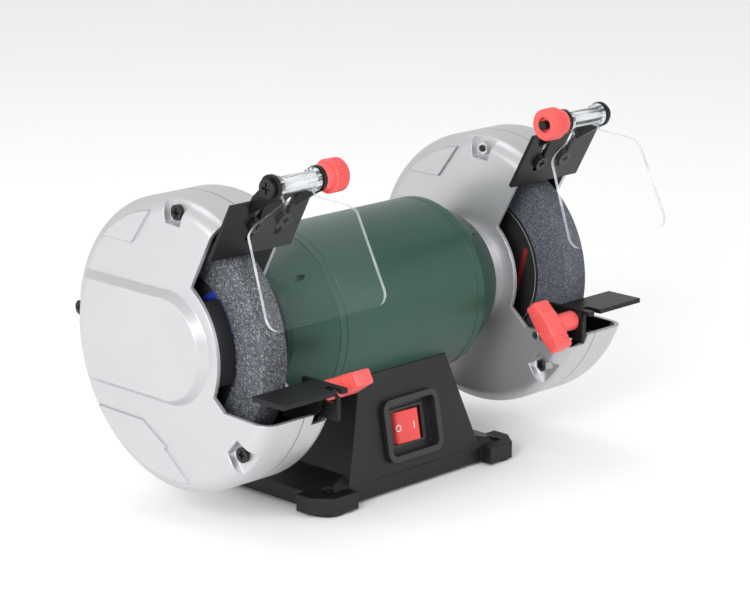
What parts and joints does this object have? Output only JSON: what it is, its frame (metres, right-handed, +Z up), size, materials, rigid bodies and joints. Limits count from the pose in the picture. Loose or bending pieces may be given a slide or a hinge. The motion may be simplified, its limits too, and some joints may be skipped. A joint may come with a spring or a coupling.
{
  "type": "bench grinder",
  "caption": "Double-ended bench grinder with guarded wheels, clear eye shields, spark arresters, sliding tool rests and a front rocker switch.",
  "frame": {"origin": "on the bench, under the middle of the base", "axes": "+X along the spindle towards the operator's right, the operator stands on the -Y side, +Z up"},
  "size_m": [0.357, 0.2018, 0.2368],
  "materials": {
    "base_paint": "satin black paint on cast iron",
    "motor_paint": "satin dark green paint",
    "guard_paint": "smooth light silver-grey paint on cast aluminium",
    "black_steel": "satin black paint on sheet steel",
    "black_screw": "black oxide",
    "zinc_steel": "zinc plated",
    "shaft_steel": "ground",
    "bearing_steel": "ground",
    "flange_steel": "pressed steel",
    "core_steel": "laminated",
    "winding_copper": "enamelled copper wire",
    "coarse_grit": "coarse bonded abrasive",
    "fine_grit": "fine bonded abrasive",
    "blue_paper": "printed blotter paper",
    "black_paper": "printed blotter paper",
    "clear_plastic": "clear polycarbonate",
    "red_plastic": "moulded red plastic",
    "rocker_plastic": "moulded red plastic",
    "black_plastic": "moulded black plastic",
    "white_plastic": "capacitor can",
    "cream_plastic": "moulded terminal block",
    "foot_rubber": "moulded rubber"
  },
  "bodies": {
    "base": {"base_casting": "base_paint", "bottom_plate": "black_steel", "bottom_plate_screws": "zinc_steel", "rubber_feet": "foot_rubber", "motor_shell": "motor_paint", "left_end_bell": "motor_paint", "right_end_bell": "motor_paint", "stator_core": "core_steel", "stator_windings": "winding_copper", "through_bolts": "zinc_steel", "saddle_bolts": "zinc_steel", "bearing_outer_rings": "bearing_steel", "wave_washer": "bearing_steel", "left_inner_guard": "guard_paint", "right_inner_guard": "guard_paint", "left_outer_cover": "guard_paint", "right_outer_cover": "guard_paint", "left_cover_screws": "black_screw", "right_cover_screws": "black_screw", "left_cover_nuts": "zinc_steel", "right_cover_nuts": "zinc_steel", "guard_bolts": "zinc_steel", "left_arrester_screws": "black_screw", "right_arrester_screws": "black_screw", "left_rest_bracket": "black_steel", "right_rest_bracket": "black_steel", "bracket_rivets": "zinc_steel", "left_rest_bolt": "black_screw", "right_rest_bolt": "black_screw", "switch_bezel": "black_plastic", "switch_body": "black_plastic", "capacitor": "white_plastic", "terminal_block": "cream_plastic", "cable_gland": "black_plastic"},
    "rotor": {"shaft": "shaft_steel", "rotor_core": "core_steel", "bearing_inner_rings": "bearing_steel", "bearing_balls": "bearing_steel", "inner_flanges": "flange_steel", "outer_flanges": "flange_steel", "spindle_nuts": "zinc_steel", "left_wheel": "coarse_grit", "right_wheel": "fine_grit", "left_wheel_blotters": "blue_paper", "right_wheel_blotters": "black_paper"},
    "left_arrester": {"left_spark_arrester": "black_steel", "left_shield_bolt": "black_screw"},
    "left_shield": {"left_eye_shield": "clear_plastic"},
    "left_knob": {"left_shield_knob": "red_plastic"},
    "left_rest": {"left_tool_rest": "black_steel"},
    "left_clamp": {"left_rest_knob": "red_plastic"},
    "right_arrester": {"right_spark_arrester": "black_steel", "right_shield_bolt": "black_screw"},
    "right_shield": {"right_eye_shield": "clear_plastic"},
    "right_knob": {"right_shield_knob": "red_plastic"},
    "right_rest": {"right_tool_rest": "black_steel"},
    "right_clamp": {"right_rest_knob": "red_plastic"},
    "rocker": {"switch_rocker": "rocker_plastic"}
  },
  "joints": [
    {"name": "rotor_spin", "type": "hinge", "parent": "base", "child": "rotor", "pos_m": [0, 0, 0.112], "axis": [1, 0, 0], "continuous": true},
    {"name": "left_arrester_slide", "type": "slide", "parent": "base", "child": "left_arrester", "axis": [0, -0.4802, 0.8771], "range_m": [-0.0024, 0.009]},
    {"name": "left_shield_tilt", "type": "hinge", "parent": "left_arrester", "child": "left_shield", "pos_m": [-0.1285, -0.08211, 0.22188], "axis": [-1, 0, 0], "range_deg": [-12, 80]},
    {"name": "left_shield_knob_turn", "type": "hinge", "parent": "left_arrester", "child": "left_knob", "pos_m": [-0.1285, -0.08211, 0.22188], "axis": [-1, 0, 0], "range_deg": [-180, 30]},
    {"name": "left_rest_slide", "type": "slide", "parent": "base", "child": "left_rest", "axis": [0, 1, 0], "range_m": [-0.008, 0.011]},
    {"name": "left_rest_knob_turn", "type": "hinge", "parent": "base", "child": "left_clamp", "pos_m": [-0.1, -0.09, 0.0935], "axis": [-1, 0, 0], "range_deg": [-180, 30]},
    {"name": "right_arrester_slide", "type": "slide", "parent": "base", "child": "right_arrester", "axis": [0, -0.4802, 0.8771], "range_m": [-0.0074, 0.004]},
    {"name": "right_shield_tilt", "type": "hinge", "parent": "right_arrester", "child": "right_shield", "pos_m": [0.1285, -0.08451, 0.22626], "axis": [-1, 0, 0], "range_deg": [-12, 80]},
    {"name": "right_shield_knob_turn", "type": "hinge", "parent": "right_arrester", "child": "right_knob", "pos_m": [0.1285, -0.08451, 0.22626], "axis": [-1, 0, 0], "range_deg": [-180, 30]},
    {"name": "right_rest_slide", "type": "slide", "parent": "base", "child": "right_rest", "axis": [0, 1, 0], "range_m": [-0.014, 0.002]},
    {"name": "right_rest_knob_turn", "type": "hinge", "parent": "base", "child": "right_clamp", "pos_m": [0.1, -0.09, 0.0935], "axis": [-1, 0, 0], "range_deg": [-180, 30]},
    {"name": "rocker_tip", "type": "hinge", "parent": "base", "child": "rocker", "pos_m": [0, -0.04592, 0.03748], "axis": [0, 0.1791, 0.9838], "range_deg": [0, 14]}
  ]
}
